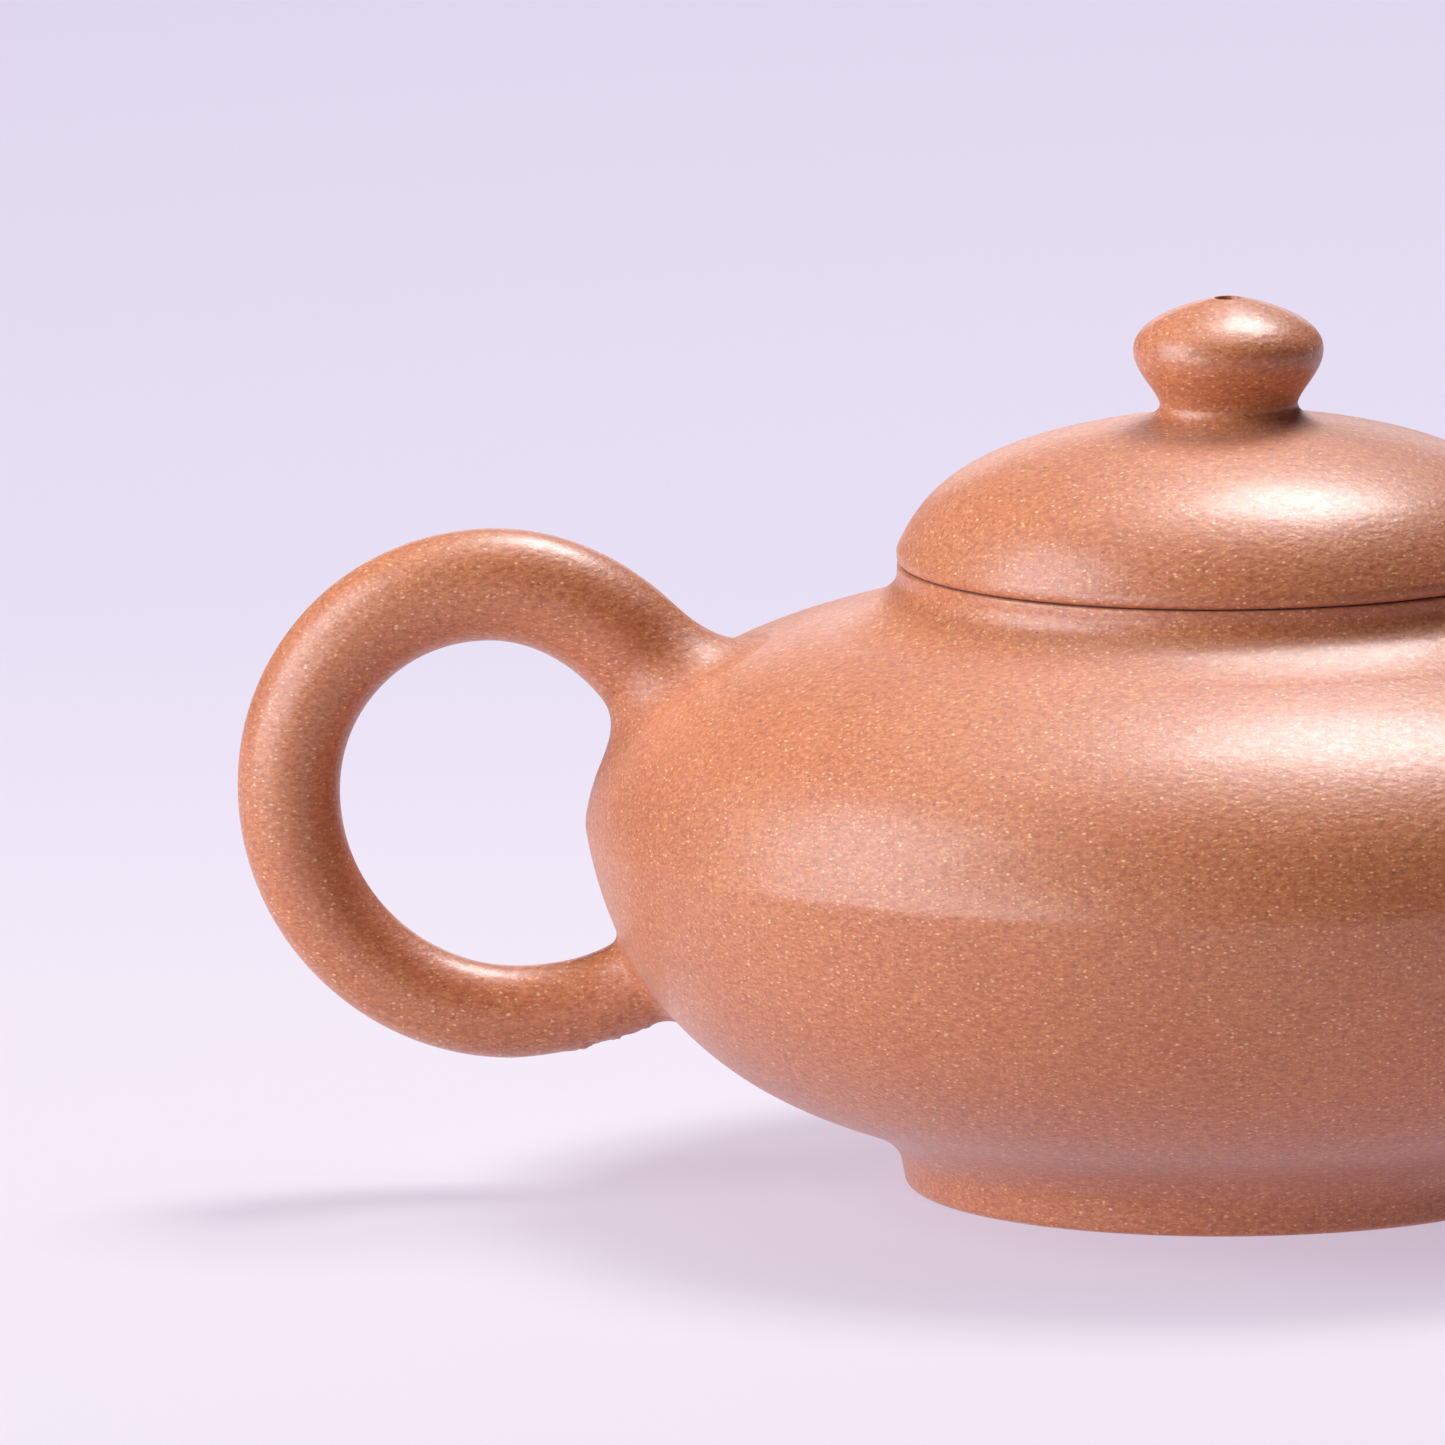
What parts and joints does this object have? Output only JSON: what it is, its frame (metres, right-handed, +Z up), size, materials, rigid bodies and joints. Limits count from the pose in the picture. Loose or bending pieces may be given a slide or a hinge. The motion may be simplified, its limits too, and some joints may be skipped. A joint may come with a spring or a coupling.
{
  "type": "clay teapot",
  "caption": "Round low clay teapot with a ring handle, a short curved spout, a foot ring and a domed lift-off lid with a bead knob.",
  "frame": {"origin": "on the table under the pot's vertical axis, at the centre of the box's bottom", "axes": "+Z up, +X towards the spout, -X towards the handle, +Y to the left of a person who faces along +X"},
  "size_m": [0.1596, 0.104, 0.0716],
  "materials": {
    "clay_burnished": "unglazed sandy orange-brown clay, burnished to a soft sheen, with fine pale grains",
    "clay_plain": "the same unglazed clay, left plain and matt"
  },
  "bodies": {
    "pot": {"belly_wall": "clay_burnished", "shoulder_disc": "clay_burnished", "base_disc": "clay_plain", "foot_ring": "clay_burnished", "neck_ring": "clay_burnished", "spout": "clay_burnished", "spout_joint_clay": "clay_burnished", "strainer": "clay_plain", "handle": "clay_burnished", "handle_upper_joint_clay": "clay_burnished", "handle_lower_joint_clay": "clay_burnished"},
    "lid": {"lid_dome": "clay_burnished", "lid_seat": "clay_burnished", "lid_flange": "clay_plain", "knob_collar": "clay_burnished", "knob": "clay_burnished"}
  },
  "joints": [
    {"name": "lid_lift", "type": "slide", "parent": "pot", "child": "lid", "axis": [0, 0, 1], "range_m": [0, 0.025]}
  ]
}
